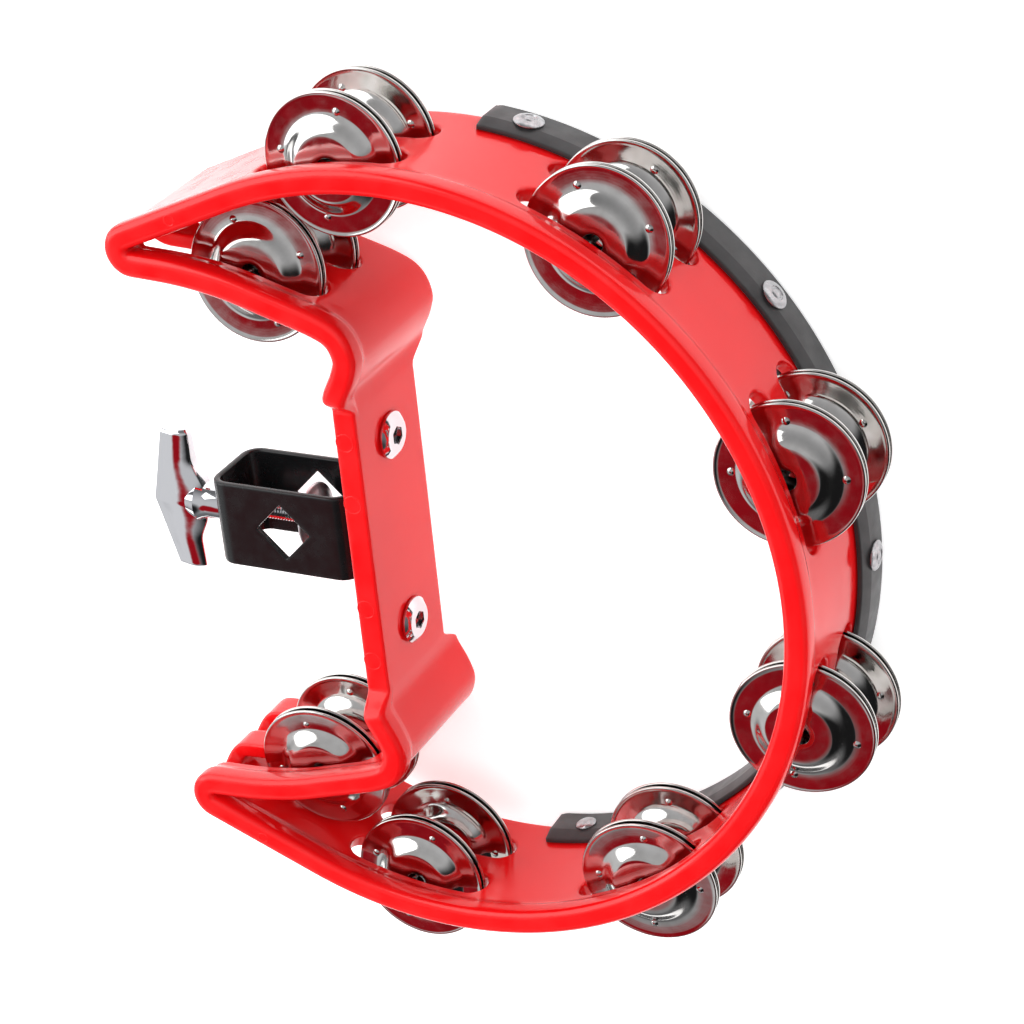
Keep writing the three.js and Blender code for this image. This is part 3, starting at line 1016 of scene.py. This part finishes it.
@dataclass
class StrikeStrip(Assembly):
    """The rubber strike strip and the rivets that hold it."""

    half_span: float = 83.0
    rivets: tuple[float, ...] = (-77, -38, 0, 38, 77)
    rivet_z: float = 8.5
    steps: int = 200

    def section(self) -> Section:
        """Draws the U section.

        Returns:
            Points of offset and height, from the outer toe round to the inner one.
        """
        outer = [(5.75, 1.6), (5.75, 11.3), (4.3, 15.6), (2.85, 15.6), (2.85, 4.7)]
        corners = [(4.6, 0.0), *outer, *[(-n, z) for n, z in reversed(outer)], (-4.6, 0.0)]
        return rounded(corners, [1.2, 1.4, 0.6, 0.7, 0.25, 0.4, 0.4, 0.25, 0.7, 0.6, 1.4, 1.2], 3)

    def build(self) -> None:
        """Builds the strip and its rivets."""
        section = self.section()
        middle = (0.0, 7.8)
        # The first 2 mm at each end draw in, which rounds the cut edge.
        ends = [(0.0, 1.3), (0.35, 0.65), (1.0, 0.2), (2.0, 0.0)]
        stations = [(-self.half_span + math.degrees(d / self.plan.ring_r), pull) for d, pull in ends]
        first, sweep = -self.half_span + 1.6, 2 * self.half_span - 3.2
        inner = [(first + sweep * k / self.steps, 0.0) for k in range(self.steps + 1)]
        stations += inner + [(-a, pull) for a, pull in reversed(stations)]
        shell, rings = Shell(), []
        for degrees, pull in stations:
            ring = []
            for n, z in section:
                far = 1.0 if z < 2.5 else 0.35
                shrink = min(pull * far, 0.45)
                dn, dz = middle[0] - n, middle[1] - z
                size = math.hypot(dn, dz) or 1.0
                radius = self.plan.ring_r + n + dn / size * shrink
                ring.append(self.plan.polar(radius, degrees, max(0.0, z + dz / size * shrink)))
            rings.append(ring)
        shell.add_rings(rings)
        for ring in (rings[0], rings[-1]):
            start = len(shell.points)
            shell.points.extend(ring)
            # The U closes with quads from its outer side across to its inner one.
            last = start + len(ring) - 1
            for k in range(len(ring) // 2 - 1):
                shell.faces.append((start + k, start + k + 1, last - 1 - k, last - k))
        mesh = shell.to_mesh("rubber_strip", sharp=48.0)
        self.piece("rubber_strip", mesh, STRIP_RUBBER, ROOT, "strike_strip")
        for i, degrees in enumerate(self.rivets):
            self.build_rivet(i + 1, degrees)

    def outwards(self, degrees: float) -> Callable[[Vector], Vector]:
        """Gives the move that takes a +Z shape to a radial place at the rivets' height.

        Args:
            degrees: Angle about the ring's centre.

        Returns:
            A function that moves a point.
        """
        a = math.radians(degrees)
        out = Vector((math.cos(a), math.sin(a), 0.0))
        side = Vector((-math.sin(a), math.cos(a), 0.0))
        base = self.plan.polar(self.plan.ring_r, degrees, self.rivet_z)
        return lambda p: base + side * p.x + Vector((0, 0, 1)) * p.y + out * p.z

    def build_rivet(self, number: int, degrees: float) -> None:
        """Builds one blind rivet: outside a flat flange with the mandrel's cup, inside a dome.

        Args:
            number: The rivet's number.
            degrees: Its angle about the ring's centre.
        """
        inner = [(0.0, -7.5), (1.4, -7.4), (2.6, -7.0), (3.4, -6.45), (3.5, -6.1), (3.3, -6.0), (2.0, -6.0)]
        outer = [
            (2.0, 6.0), (4.5, 6.0), (4.72, 6.15), (4.7, 6.4), (4.2, 6.85), (3.2, 7.2), (2.45, 7.3),
            (2.3, 7.05), (2.0, 6.95), (1.7, 7.0), (1.45, 7.3), (0.9, 7.5), (0.0, 7.52),
        ]
        shell = turned([*inner, *outer], 28, self.outwards(degrees))
        name = f"strip_rivet_head_{number}"
        self.piece(name, shell.to_mesh(name, sharp=40.0), RIVET_ZINC, ROOT, f"strip_rivet_{number}")


class Row(Enum):
    """The two rows of slots."""

    FAR = "far"
    NEAR = "near"


class Half(Enum):
    """The two discs of a pair."""

    LOWER = "lower"
    UPPER = "upper"


@dataclass
class Jingles(Assembly):
    """Pins and stamped discs at the eight seats."""

    seats: int = 8
    radius: float = 22.5
    sheet: float = 0.7
    dome_r: float = 16.0
    crown_r: float = 10.8
    dome_h: float = 3.3
    hole_r: float = 3.2
    dimples: int = 4

    def profile(self) -> Section:
        """Draws the closed section of a disc: rolled rim, flat flange, coved dome and flat crown.

        Returns:
            Points of radius and height.
        """
        t, h = self.sheet, self.dome_h
        top = [(self.hole_r, h + t - 0.15), (self.hole_r + 0.15, h + t)]
        top += [(r, h + t) for r in (5.5, 8.5)]
        for k in range(11):
            u = k / 10
            r = self.crown_r - 0.9 + (self.dome_r - self.crown_r + 1.2) * u
            top.append((r, t + h * (1 - u * u * (3 - 2 * u))))
        top += [(18.4, t), (20.6, t), (21.3, t + 0.02)]
        rim = arc((self.radius - 0.5, 0.42), 0.5, 125, -80, 7)
        under = [(21.2, 0.02), (18.4, 0.0)]
        for k in range(11):
            u = 1 - k / 10
            r = self.crown_r - 1.2 + (self.dome_r - self.crown_r + 0.9) * u
            under.append((r, h * (1 - u * u * (3 - 2 * u))))
        under += [(6.0, h), (self.hole_r, h), (self.hole_r, h + 0.3)]
        return top + rim + under

    def disc_mesh(self) -> bpy.types.Mesh:
        """Builds the disc that all jingles share, with its small punched dimples.

        Returns:
            The disc's mesh.
        """
        shell = turned(self.profile(), 112, lambda p: p, closed=True)
        for i in range(self.dimples):
            a = math.radians(45 + 360 * i / self.dimples)
            middle = Vector((16.9 * math.cos(a), 16.9 * math.sin(a), self.sheet - 0.05))
            rings = []
            turns = [2 * math.pi * k / 16 for k in range(16)]
            for r, h in ((1.35, 0.0), (1.2, 0.12), (0.95, 0.34), (0.6, 0.5), (0.25, 0.57)):
                rings.append([middle + Vector((r * math.cos(t), r * math.sin(t), h)) for t in turns])
            shell.add_rings(rings)
            shell.add_cap(rings[-1])
        return shell.to_mesh("stamped_disc", sharp=60.0)

    def pin_mesh(self, length: float) -> bpy.types.Mesh:
        """Builds a straight wire pin with chamfered ends, standing on its origin.

        Args:
            length: Length of the pin in millimetres.

        Returns:
            The pin's mesh.
        """
        r, c = 1.0, 0.3
        profile = [(0.0, 0.0), (r - c, 0.0), (r, c), (r, length / 2)]
        profile += [(r, length - c), (r - c, length), (0.0, length)]
        return turned(profile, 20, lambda p: p).to_mesh("wire_pin", sharp=50.0)

    def resting_place(self, node: str, flipped: bool) -> tuple[Vector, Vector]:
        """Reads how a disc hangs from its CAD node.

        Args:
            node: The disc's CAD node.
            flipped: Whether its dome points down.

        Returns:
            The middle of its rim plane in millimetres, and the way its dome points.
        """
        cloud = np.array([v.co for v in bpy.data.objects[node].data.vertices]) / MM
        middle = cloud.mean(axis=0)
        axis = np.linalg.svd(cloud - middle, full_matrices=False)[2][2]
        if (axis[2] > 0) == flipped:
            axis = -axis
        rim = middle + axis * ((cloud - middle) @ axis).min()
        return Vector(rim), Vector(axis)

    def build(self) -> None:
        """Builds every pin and disc at its CAD node's place."""
        disc = self.disc_mesh()
        disc.materials.append(self.wardrobe.material(JINGLE_NICKEL))
        draw = random.Random(7)
        low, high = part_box("jingle_pin_1")
        pin = self.pin_mesh((high.z - low.z) / MM)
        for seat in range(1, self.seats + 1):
            low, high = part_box(f"jingle_pin_{seat}")
            foot = Vector(((low.x + high.x) / 2, (low.y + high.y) / 2, low.z)) / MM
            self.piece(f"wire_pin_{seat}", pin, PIN_NICKEL, ROOT, f"jingle_pin_{seat}", at=foot)
            for row in Row:
                for half in Half:
                    node = f"jingle_{seat}_{row.value}_{half.value}"
                    spot, axis = self.resting_place(node, half is Half.LOWER)
                    spin = Matrix.Rotation(draw.uniform(0, 2 * math.pi), 4, "Z")
                    mesh = disc.copy()
                    mesh.transform(axis.to_track_quat("Z", "Y").to_matrix().to_4x4() @ spin)
                    name = f"disc_{seat}_{row.value}_{half.value}"
                    self.piece(name, mesh, JINGLE_NICKEL, f"{node}_disc", node, at=spot)


@dataclass
class RodClamp(Assembly):
    """The clamp behind the grip: base plate, strap, nuts, screws, wing bolt and pressure foot."""

    axis_z: float = 33.0
    hex_points: int = 48

    def along_x(self, y: float = 0.0) -> Callable[[Vector], Vector]:
        """Gives the move that lays a +Z shape along +X at the bolt's height, z becoming x."""
        return lambda p: self.plan.centre + Vector((p.z, y + p.y, self.axis_z - p.x))

    def span_x(self, node: str) -> tuple[float, float]:
        """Lowest and highest x of a CAD node, about the ring's centre, in millimetres."""
        low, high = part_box(node)
        return low.x / MM - self.plan.centre.x, high.x / MM - self.plan.centre.x

    def build_base(self) -> None:
        """Builds the base plate with rounded corners and softened edges."""
        x0, x1 = self.span_x("clamp_base_plate")
        low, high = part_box("clamp_base_plate")
        hy, hz = (high.y - low.y) / 2 / MM, (high.z - low.z) / 2 / MM
        shell, rings = Shell(), []
        softened = [(0.7, x0), (0.2, x0 + 0.2), (0.0, x0 + 0.7), (0.0, x1 - 0.7), (0.2, x1 - 0.2), (0.7, x1)]
        for inset, x in softened:
            y, z = hy - inset, hz - inset
            outline = rounded([(-y, -z), (y, -z), (y, z), (-y, z)], 4.0, 6)
            rings.append([self.plan.centre + Vector((x, a, self.axis_z + b)) for a, b in outline])
        shell.add_rings(rings)
        shell.add_cap(rings[0])
        shell.add_cap(rings[-1])
        self.piece("base_plate", shell.to_mesh("base_plate"), CLAMP_ENAMEL, ROOT, "clamp_base_plate")

    def build_strap(self) -> None:
        """Builds the strap as a pierced band bent round four corners."""
        x0, x1 = self.span_x("clamp_strap")
        low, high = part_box("clamp_strap")
        thick = 2.2
        half_z, half_y = (high.z - low.z) / 2 / MM, (high.y - low.y) / 2 / MM
        cx, hx, hz, r = (x0 + x1) / 2, (x1 - x0) / 2 - thick / 2, half_z - thick / 2, 4.9
        line: list[Vector] = []
        for quarter, (sx, sz) in enumerate(((1, 1), (-1, 1), (-1, -1), (1, -1))):
            corner = (cx + sx * (hx - r), sz * (hz - r))
            line += [Vector(p) for p in arc(corner, r, 90 * quarter, 90 * quarter + 90, 14)]
        line.append(line[0].copy())
        fine: list[Vector] = []
        for a, b in zip(line, line[1:]):
            spans = max(1, math.ceil((b - a).length / 0.6))
            fine += [a.lerp(b, k / spans) for k in range(spans)]
        fine.append(fine[0].copy())
        marks = [0.0]
        for a, b in zip(fine, fine[1:]):
            marks.append(marks[-1] + (b - a).length)
        length = marks[-1]

        def spot(s: float) -> Vector:
            """Point of the strap's middle line."""
            s %= length
            i = min(max(bisect.bisect_right(marks, s) - 1, 0), len(fine) - 2)
            return fine[i].lerp(fine[i + 1], (s - marks[i]) / (marks[i + 1] - marks[i]))

        def place(s: float, v: float, n: float) -> Vector:
            """Point of the strap from its unrolled plane."""
            p = spot(s)
            t = spot(s + 0.35) - spot(s - 0.35)
            out = Vector((t.y, -t.x)).normalized()
            q = p + out * n
            return self.plan.centre + Vector((q.x, v, self.axis_z + q.y))

        def edge(side: int) -> Callable[[float], Section]:
            """Section of one rounded edge of the strap."""
            start = side * (half_y - 0.9)
            bow = [(math.cos(math.radians(a)), math.sin(math.radians(a))) for a in range(0, 181, 18)]
            return lambda s: [(1.1 * c, start + side * 0.9 * k**0.6 if k > 0 else start) for c, k in bow]

        def nearest(x: float, z: float) -> float:
            """Distance along the strap to the point nearest to x and z."""
            best = min(range(len(fine)), key=lambda i: (fine[i] - Vector((x, z))).length_squared)
            return marks[best]

        half, diamond_x = 13.6 / 2, -50.5
        holes = [Opening(nearest(diamond_x, sz * hz), 0.0, half, half, 0.5, 45.0) for sz in SIDES]
        holes.append(Opening(nearest(cx - hx, 0.0), 0.0, 3.4, 3.4, 3.4))
        stations = [length * k / 150 for k in range(150)]
        band = PiercedBand(
            place=place, stations=stations, length=length, span=(-(half_y - 0.9), half_y - 0.9), half=1.1,
            openings=holes, edges=[edge(1), edge(-1)], fillet=0.35, pitch=1.6,
        )
        mesh = band.shell().to_mesh("strap", sharp=55.0, weld=2e-3)
        self.piece("strap", mesh, CLAMP_ENAMEL, ROOT, "clamp_strap")

    def hexagon(self, flats: float, cone: float, height: float, hole: float) -> list[list[Vector]]:
        """Rings of a hexagonal nut with cone-turned corners.

        Args:
            flats: Distance across the flats.
            cone: Radius at which the chamfer cone meets the end face.
            height: Height of the nut.
            hole: Radius of its bore.

        Returns:
            Closed rings from the bore's foot, over the outside, to the bore's top.
        """
        turns = [2 * math.pi * k / self.hex_points for k in range(self.hex_points)]
        reach = [flats / 2 / math.cos((a + math.pi / 6) % (math.pi / 3) - math.pi / 6) for a in turns]
        drop = [max(0.0, (r - cone) * math.tan(math.radians(30))) for r in reach]

        def ring(radii: Sequence[float], levels: Sequence[float]) -> list[Vector]:
            """One ring of points."""
            return [Vector((r * math.cos(a), r * math.sin(a), h)) for r, a, h in zip(radii, turns, levels)]

        inner = [hole] * len(turns)
        flat = [min(r, cone) for r in reach]
        zero, top = [0.0] * len(turns), [height] * len(turns)
        rings = [ring(inner, zero), ring(flat, zero), ring(reach, drop)]
        rings += [ring(reach, [height - d for d in drop]), ring(flat, top)]
        return [*rings, ring([hole + 0.4] * len(turns), top), ring(inner, [height - 0.4] * len(turns))]

    def build_nuts(self) -> None:
        """Builds the weld nut and the two grip nuts."""
        jobs = (
            ("weld_nut", "clamp_weld_nut", 12.0, 0.0, CLAMP_ENAMEL),
            ("back_nut_1", "grip_nut_1", 10.0, 32.5, RIVET_ZINC),
            ("back_nut_2", "grip_nut_2", 10.0, -32.5, RIVET_ZINC),
        )
        for name, node, flats, y, finish in jobs:
            x0, x1 = self.span_x(node)
            move = self.along_x(y)
            shell = Shell()
            rings = self.hexagon(flats, flats / 2 - 0.1, x1 - x0, 3.3)
            mirrored = node.startswith("grip")
            base = Vector((0, 0, x1 if mirrored else x0))
            flip = -1 if mirrored else 1
            laid = [[move(Vector((p.x, p.y, flip * p.z)) + base) for p in ring] for ring in rings]
            shell.add_rings(laid, along=True)
            self.piece(name, shell.to_mesh(name, sharp=28.0), finish, ROOT, node)

    def build_screws(self) -> None:
        """Builds the two button-head screws, with hexagon sockets and plain shanks chamfered at the end."""
        for number, y in ((1, 32.5), (2, -32.5)):
            x0, x1 = self.span_x(f"grip_screw_{number}")
            under = x1 - 2.4
            head = [
                (3.0, under), (7.1, under), (7.4, under + 0.15), (7.5, under + 0.5), (7.42, under + 0.95),
                (6.9, under + 1.35), (5.75, under + 2.2), (5.4, under + 2.36), (5.0, x1), (3.35, x1),
            ]
            move = self.along_x(y)
            shell = Shell()
            turns = [2 * math.pi * k / 48 for k in range(48)]
            reach = [2.5 / math.cos((a + math.pi / 6) % (math.pi / 3) - math.pi / 6) for a in turns]

            def ring(radii: Sequence[float], level: float) -> list[Vector]:
                """One ring about the screw's axis."""
                return [move(Vector((r * math.cos(a), r * math.sin(a), level))) for r, a in zip(radii, turns)]

            rings = [ring([0.01] * 48, x0), ring([2.4] * 48, x0), ring([2.9] * 48, x0 + 0.6)]
            rings += [ring([r] * 48, h) for r, h in head]
            rings += [ring([r + 0.25 for r in reach], x1), ring(reach, x1 - 0.25), ring(reach, x1 - 2.0)]
            rings += [ring([r * 0.5 for r in reach], x1 - 2.3), ring([0.01] * 48, x1 - 2.5)]
            shell.add_rings(rings)
            name = f"button_screw_{number}"
            mesh = shell.to_mesh(name, sharp=32.0, weld=3e-2)
            self.piece(name, mesh, TURNED_CHROME, ROOT, f"grip_screw_{number}")

    def build_bolt(self) -> None:
        """Builds the clamp bolt with a rounded helical thread of 1 mm pitch."""
        x0, x1 = self.span_x("clamp_bolt")
        move = self.along_x()
        steps, pitch = 28, 1.0
        shell = Shell()
        rings = []
        rows = int((x1 - x0) / (pitch / 4))
        for row in range(rows + 1):
            h = x0 + (x1 - x0) * row / rows
            ring = []
            for k in range(steps):
                a = 2 * math.pi * k / steps
                phase = ((h - x0) / pitch - k / steps) % 1.0
                depth = 0.5 - 0.5 * math.cos(2 * math.pi * phase)
                r = 2.98 - 0.5 * depth * smooth_step(x1 - h, 0.0, 2.0)
                ring.append(move(Vector((r * math.cos(a), r * math.sin(a), h))))
            rings.append(ring)
        shell.add_rings(rings)
        shell.add_cap(rings[0])
        shell.add_cap(rings[-1])
        mesh = shell.to_mesh("threaded_bolt", sharp=70.0)
        self.piece("threaded_bolt", mesh, TURNED_CHROME, "wing_bolt", "clamp_bolt")

    def build_foot(self) -> None:
        """Builds the pressure foot: a pressed cup with a rolled rim and a shallow dome."""
        x0, _ = self.span_x("pressure_foot")
        outside = [(3.4, x0), (5.0, x0), (5.2, x0 + 0.2), (5.2, x0 + 2.2), (5.6, x0 + 2.6), (10.0, x0 + 2.95)]
        outside += [(r, h) for r, h in arc((10.1, x0 + 3.65), 0.7, -90, 70, 6)]
        for k in range(10):
            u = 1 - k / 9
            outside.append((9.6 * u, x0 + 4.5 + 3.7 * (1 - u * u)))
        shell = turned(outside[:-1] + [(0.0, x0 + 8.2)], 64, self.along_x())
        inner = [(3.4, x0), (3.4, x0 + 4.2), (0.0, x0 + 4.25)]
        sleeve = turned(inner, 64, self.along_x())
        shell.add_shell(sleeve)
        self.piece("foot_cup", shell.to_mesh("foot_cup", sharp=50.0), SATIN_CHROME, "foot", "pressure_foot")

    def build_wing(self) -> None:
        """Builds the cast wing handle: two tapered wings that meet in a blunt point, on a round neck."""
        x0, x1 = self.span_x("wing_handle")
        low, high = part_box("wing_handle")
        half = (high.y - low.y) / 2 / MM
        apex, tip_out, tip_in, root = x0, x0 + 5.2, x0 + 15.2, x0 + 19.0
        shell, rings = Shell(), []
        steps = 72
        for k in range(steps + 1):
            u = -1 + 2 * k / steps
            y = half * math.copysign(1 - (1 - abs(u)) ** 1.35, u)
            v = abs(y) / half
            ridge = math.sqrt(v * v + 0.012**2)
            left = apex + (tip_out - apex) * ridge
            hollow = max(0.0, 1 - abs(y) / 15.0)
            right = tip_in + 0.3 * (1 - v) + (root - tip_in) * smooth_step(hollow, 0.0, 0.72)
            thick = 2.7 + 2.7 * (1 - v) ** 1.3
            # The section draws in over the last millimetre, which rounds the tip.
            pinch = 0.9 * (1 - smooth_step(half - abs(y), -0.05, 1.1))
            # Each face bulges gently, and more so towards the root side.
            across = [k / 10 for k in range(11)]
            bulge = [(t, thick * (0.6 + 0.4 * math.sin(math.pi * t**1.25))) for t in across]
            near = [(left + pinch + (right - left - 2 * pinch) * t, z - pinch) for t, z in bulge]
            outline = [(x, -z) for x, z in near] + near[::-1]
            corners = [1.1] + [0.0] * 9 + [1.1, 1.1] + [0.0] * 9 + [1.1]
            section = rounded(outline, corners, 5)
            rings.append([self.plan.centre + Vector((x, y, self.axis_z + z)) for x, z in section])
        shell.add_rings(rings)
        shell.add_cap(rings[0])
        shell.add_cap(rings[-1])
        neck = [
            (0.0, root - 6.0), (5.4, root - 6.0), (7.0, root - 2.2), (6.15, root - 0.4), (5.8, root + 1.6),
            (5.8, x1 - 0.8), (5.4, x1 - 0.15), (5.0, x1), (3.3, x1), (3.2, x1 - 6.0), (0.0, x1 - 6.0),
        ]
        collar = turned(neck, 48, self.along_x())
        shell.add_shell(collar)
        mesh = shell.to_mesh("cast_wing", sharp=42.0)
        self.piece("cast_wing", mesh, CAST_CHROME, "wing_bolt", "wing_handle")

    def build(self) -> None:
        """Builds every piece of the clamp."""
        self.build_base()
        self.build_strap()
        self.build_nuts()
        self.build_screws()
        self.build_bolt()
        self.build_foot()
        self.build_wing()


# ---------------------------------------------------------------- studio


@dataclass(frozen=True)
class SoftBox:
    """An area light: its direction in degrees, width and height in metres, and power in watts."""

    name: str
    azimuth: float
    elevation: float
    size: Point2
    power: float
    mirrored: bool = False


@dataclass(frozen=True)
class Card:
    """A soft round card on the room's wall: its direction, and the angles at which it fades and is gone."""

    azimuth: float
    elevation: float
    fade: Point2
    colour: str


SOFT_BOXES = (
    SoftBox("key_box", 150.0, 31.0, (1.7, 1.1), 14.0, mirrored=True),
    SoftBox("front_fill", 60.0, 62.0, (1.2, 1.2), 8.5),
    SoftBox("side_fill", -40.0, 35.0, (1.2, 1.0), 6.0),
    SoftBox("inner_fill", 215.0, 40.0, (1.2, 1.0), 8.5),
)
CARDS = (
    Card(-47.0, 42.0, (24.0, 44.0), "#202021"),
    Card(205.0, 35.0, (18.0, 36.0), "#e6e6e8"),
    Card(233.0, 56.0, (13.0, 22.0), "#a3141f"),
)


@dataclass
class Studio:
    """Pale floor, a room with three cards, soft boxes and the camera."""

    plan: RingPlan
    azimuth: float = 46.918
    elevation: float = 51.497
    roll: float = 135.713
    distance: float = 0.9073
    aim: tuple[float, float, float] = (0.02227, 0.00914, 0.02925)
    lens: float = 104.28
    reach: float = 1.3

    def target(self) -> Vector:
        """Point that the camera looks at."""
        return self.plan.centre * MM + Vector(self.aim)

    def build_camera(self) -> None:
        """Adds the camera by azimuth, elevation, roll and distance."""
        a, e, r = (math.radians(v) for v in (self.azimuth, self.elevation, self.roll))
        back = Vector((math.cos(e) * math.cos(a), math.cos(e) * math.sin(a), math.sin(e)))
        level = (-back).cross(Vector((0, 0, 1))).normalized()
        upright = level.cross(-back)
        up = upright * math.cos(r) + level * math.sin(r)
        right = (-back).cross(up)
        camera = bpy.data.objects.new("camera", bpy.data.cameras.new("camera"))
        camera.data.lens = self.lens
        camera.data.sensor_width = 36.0
        camera.data.clip_start = 0.02
        turn = Matrix((right, up, back)).transposed().to_4x4()
        camera.matrix_world = Matrix.Translation(self.target() + back * self.distance) @ turn
        bpy.context.scene.collection.objects.link(camera)
        bpy.context.scene.camera = camera

    def way(self, azimuth: float, elevation: float) -> Vector:
        """Direction from the object at an azimuth and an elevation in degrees."""
        a, e = math.radians(azimuth), math.radians(elevation)
        return Vector((math.cos(e) * math.cos(a), math.cos(e) * math.sin(a), math.sin(e)))

    def build_light(self, box: SoftBox) -> None:
        """Adds an area light that faces the object.

        Args:
            box: The soft box to add. Polished pieces mirror it only if it says so.
        """
        way = self.way(box.azimuth, box.elevation)
        light = bpy.data.lights.new(box.name, "AREA")
        light.shape = "RECTANGLE"
        light.size, light.size_y = box.size
        light.energy = box.power
        obj = bpy.data.objects.new(box.name, light)
        obj.location = self.target() + way * self.reach
        obj.rotation_euler = way.to_track_quat("Z", "Y").to_euler()
        obj.visible_glossy = box.mirrored
        bpy.context.scene.collection.objects.link(obj)

    def build_floor(self) -> None:
        """Adds a wide pale floor just under the object."""
        shell = Shell()
        z, marks = -0.15, (-3000.0, 0.0, 3000.0)
        rows = [[Vector((x, y, z)) for x in marks] for y in marks]
        shell.add_rings(rows, around=False)
        mesh = shell.to_mesh("paper_floor")
        material = bpy.data.materials.new("white_paper")
        material.use_nodes = True
        shader = material.node_tree.nodes["Principled BSDF"]
        shader.inputs["Base Color"].default_value = linear("#f4f4f4")
        shader.inputs["Roughness"].default_value = 0.9
        shader.inputs["Specular IOR Level"].default_value = 0.2
        shader.inputs["Emission Color"].default_value = linear("#ffffff")
        shader.inputs["Emission Strength"].default_value = 0.55
        mesh.materials.append(material)
        floor = bpy.data.objects.new("paper_floor", mesh)
        bpy.context.scene.collection.objects.link(floor)

    def lay_card(
        self, tree: bpy.types.NodeTree, wall: bpy.types.NodeSocket, card: Card
    ) -> bpy.types.NodeSocket:
        """Lays a soft round card on the room's walls.

        Args:
            tree: Node tree of the room.
            wall: Colour of the wall behind the card.
            card: The card to lay.

        Returns:
            Colour of the wall with the card.
        """
        place = add_node(tree, "ShaderNodeTexCoord").outputs["Generated"]
        towards = self.way(card.azimuth, card.elevation)
        dot = add_node(tree, "ShaderNodeVectorMath", {"operation": "DOT_PRODUCT"}, i0=place, i1=towards)
        inner, outer = (math.cos(math.radians(angle)) for angle in card.fade)
        mask = add_node(
            tree, "ShaderNodeMapRange", {"interpolation_type": "SMOOTHSTEP"},
            Value=dot.outputs["Value"], From_Min=outer, From_Max=inner,
        )
        shade = linear(card.colour)
        amount = mask.outputs[0]
        mixed = add_node(tree, "ShaderNodeMix", {"data_type": "RGBA"}, Factor=amount, i6=wall, i7=shade)
        return mixed.outputs[2]

    def build_world(self) -> None:
        """Gives the room grey walls that brighten upwards, with a dark, a pale and a red card."""
        world = bpy.data.worlds.new("studio_room")
        bpy.context.scene.world = world
        world.use_nodes = True
        tree = world.node_tree
        place = add_node(tree, "ShaderNodeTexCoord").outputs["Generated"]
        height = add_node(tree, "ShaderNodeSeparateXYZ", None, Vector=place).outputs["Z"]
        wall = add_node(tree, "ShaderNodeValToRGB", None, Fac=height)
        for element, level, tone in zip(wall.color_ramp.elements, (0.35, 0.95), ("#757577", "#d2d2d4")):
            element.position = level
            element.color = linear(tone)
        colour = wall.outputs[0]
        for card in CARDS:
            colour = self.lay_card(tree, colour, card)
        tree.links.new(colour, tree.nodes["Background"].inputs["Color"])
        tree.nodes["Background"].inputs["Strength"].default_value = 1.0

    def build(self) -> None:
        """Builds the whole studio."""
        self.build_camera()
        self.build_floor()
        self.build_world()
        for box in SOFT_BOXES:
            self.build_light(box)
        bpy.context.scene.view_settings.view_transform = "Standard"


def main() -> None:
    """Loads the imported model, dresses it and sets the studio."""
    logging.basicConfig(level=logging.INFO, format="%(message)s")
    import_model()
    plan, wardrobe = RingPlan(), Wardrobe()
    Studio(plan).build()
    for assembly in (RedFrame, StrikeStrip, Jingles, RodClamp):
        assembly(plan, wardrobe).build()


if __name__ == "__main__":
    main()
